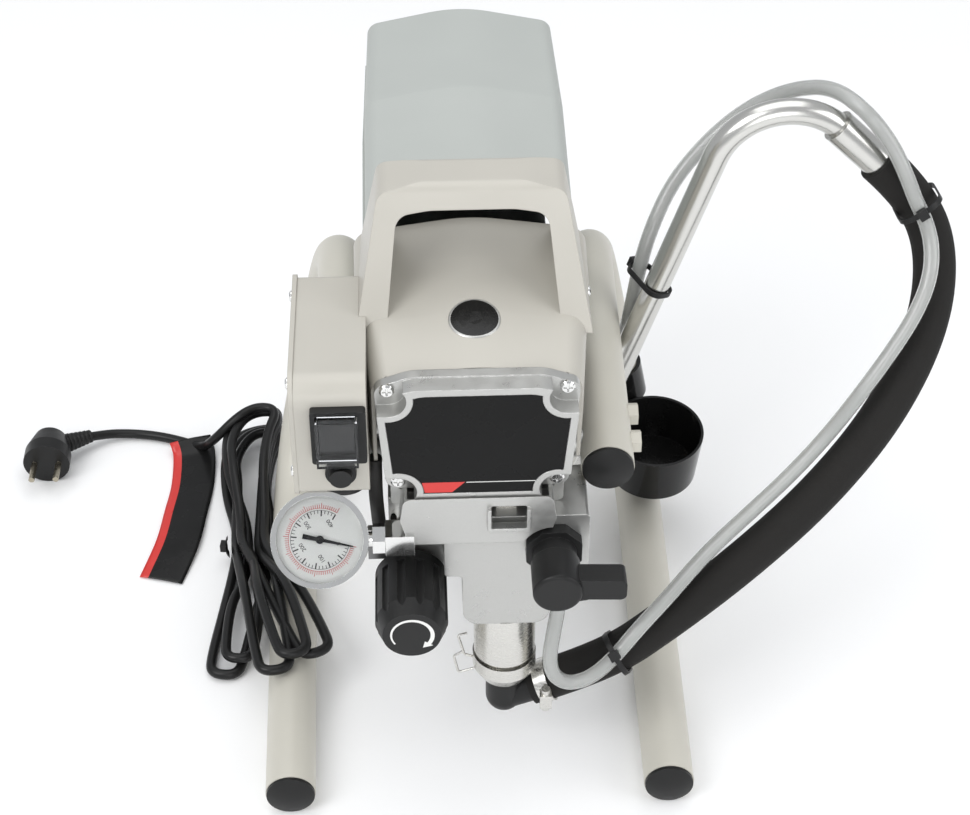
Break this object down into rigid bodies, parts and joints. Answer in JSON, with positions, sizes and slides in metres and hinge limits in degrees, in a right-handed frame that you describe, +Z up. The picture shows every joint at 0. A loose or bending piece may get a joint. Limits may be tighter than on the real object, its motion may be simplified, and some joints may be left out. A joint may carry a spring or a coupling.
{
  "type": "airless paint sprayer",
  "caption": "Piston-pump paint sprayer on a bent tube frame, with carrying handle, pressure gauge, control knob, prime valve, suction hose and pipe, drip cup and mains cord.",
  "frame": {"origin": "centre of the machine's bounding box on the floor, cords, hoses and plug left out", "axes": "+Z up, -Y towards the front cover, gauge and knob, +X towards the suction hose side"},
  "size_m": [0.6727, 0.421, 0.4319],
  "materials": {
    "frame_paint": "satin powder coat",
    "shroud_paint": "satin",
    "rear_grey": "fine texture",
    "cast_silver": "satin cast",
    "bright_steel": "brushed",
    "chrome": "polished",
    "dark_steel": "ground",
    "black_plastic": "fine texture",
    "black_gloss": "gloss",
    "black_rubber": "matt",
    "clear_tube": "milky clear",
    "clear_cover": "clear",
    "dial_white": "printed",
    "label_black": "printed film",
    "tag_paper": "printed card",
    "copper": "wound",
    "board_green": "matt",
    "seal_white": "waxy"
  },
  "bodies": {
    "root": {"left_frame_tube": "frame_paint", "right_frame_tube": "frame_paint", "frame_end_caps": "black_plastic", "frame_bolts": "bright_steel", "drive_housing": "cast_silver", "front_cover": "cast_silver", "nameplate": "label_black", "cover_screws": "chrome", "case_screws": "chrome", "pump_shield": "cast_silver", "front_shroud": "shroud_paint", "rear_cover": "rear_grey", "lower_motor_shell": "rear_grey", "motor_housing": "dark_steel", "field_magnets": "dark_steel", "drive_bearings": "bright_steel", "manifold": "cast_silver", "packing_nut": "bright_steel", "rod_packings": "seal_white", "pump_cylinder": "bright_steel", "inlet_collar": "bright_steel", "retaining_clip": "bright_steel", "suction_elbow": "black_plastic", "hose_clamp": "bright_steel", "control_box": "shroud_paint", "side_cover": "shroud_paint", "circuit_board": "board_green", "switch_frame": "black_plastic", "fuse_holder": "black_plastic", "cord_gland": "black_rubber", "gauge_case": "chrome", "gauge_dial": "dial_white", "gauge_lens": "clear_cover", "pressure_sensor": "dark_steel", "sensor_cable": "black_rubber", "prime_valve_body": "black_plastic", "outlet_nipple": "bright_steel", "suction_hose": "black_rubber", "suction_pipe": "chrome", "inlet_strainer": "bright_steel", "return_tube": "clear_tube", "cable_ties": "black_plastic", "drip_cup": "black_gloss", "cord_lead": "black_rubber", "cord_hank": "black_rubber", "cord_tail": "black_rubber", "mains_plug": "black_plastic", "cord_tag": "tag_paper"},
    "rotor": {"motor_rotor": "copper"},
    "idler": {"idler_gear": "dark_steel"},
    "crank": {"crank_gear": "dark_steel"},
    "piston": {"slider_yoke": "dark_steel", "piston_rod": "chrome"},
    "outlet_ball": {"outlet_ball": "chrome"},
    "inlet_ball": {"inlet_ball": "chrome"},
    "knob": {"pressure_knob": "black_plastic"},
    "prime_handle": {"prime_valve_handle": "black_plastic"},
    "rocker": {"switch_rocker": "black_gloss"},
    "switch_flap": {"switch_cover": "clear_cover"},
    "pointer": {"gauge_pointer": "black_gloss"}
  },
  "joints": [
    {"name": "rotor_spin", "type": "hinge", "parent": "root", "child": "rotor", "pos_m": [-0.06018, 0.027, 0.306], "axis": [0, 1, 0], "continuous": true},
    {"name": "idler_spin", "type": "hinge", "parent": "root", "child": "idler", "pos_m": [-0.07549, -0.083, 0.2802], "axis": [0, 1, 0], "continuous": true},
    {"name": "crank_spin", "type": "hinge", "parent": "root", "child": "crank", "pos_m": [-0.04218, -0.113, 0.3], "axis": [0, 1, 0], "continuous": true},
    {"name": "piston_slide", "type": "slide", "parent": "root", "child": "piston", "axis": [0, 0, 1], "range_m": [-0.008, 0.008]},
    {"name": "outlet_ball_lift", "type": "slide", "parent": "piston", "child": "outlet_ball", "axis": [0, 0, 1], "range_m": [0, 0.002]},
    {"name": "inlet_ball_lift", "type": "slide", "parent": "root", "child": "inlet_ball", "axis": [0, 0, 1], "range_m": [0, 0.003]},
    {"name": "knob_turn", "type": "hinge", "parent": "root", "child": "knob", "pos_m": [-0.10318, -0.179, 0.179], "axis": [0, -1, 0], "range_deg": [0, 300]},
    {"name": "prime_turn", "type": "hinge", "parent": "root", "child": "prime_handle", "pos_m": [-0.01268, -0.193, 0.215], "axis": [0, 1, 0], "range_deg": [0, 90]},
    {"name": "switch_rock", "type": "hinge", "parent": "root", "child": "rocker", "pos_m": [-0.14418, -0.171, 0.317], "axis": [1, 0, 0], "range_deg": [-16, 0]},
    {"name": "flap_lift", "type": "hinge", "parent": "root", "child": "switch_flap", "pos_m": [-0.14418, -0.179, 0.3345], "axis": [-1, 0, 0], "range_deg": [0, 100]},
    {"name": "pointer_turn", "type": "hinge", "parent": "root", "child": "pointer", "pos_m": [-0.15868, -0.175, 0.234], "axis": [0, -0.7193, 0.6947], "range_deg": [-290, 0]}
  ],
  "couplings": [
    {"joint": "idler_spin", "follows": "rotor_spin", "ratio": -0.25},
    {"joint": "crank_spin", "follows": "rotor_spin", "ratio": 0.072917}
  ]
}
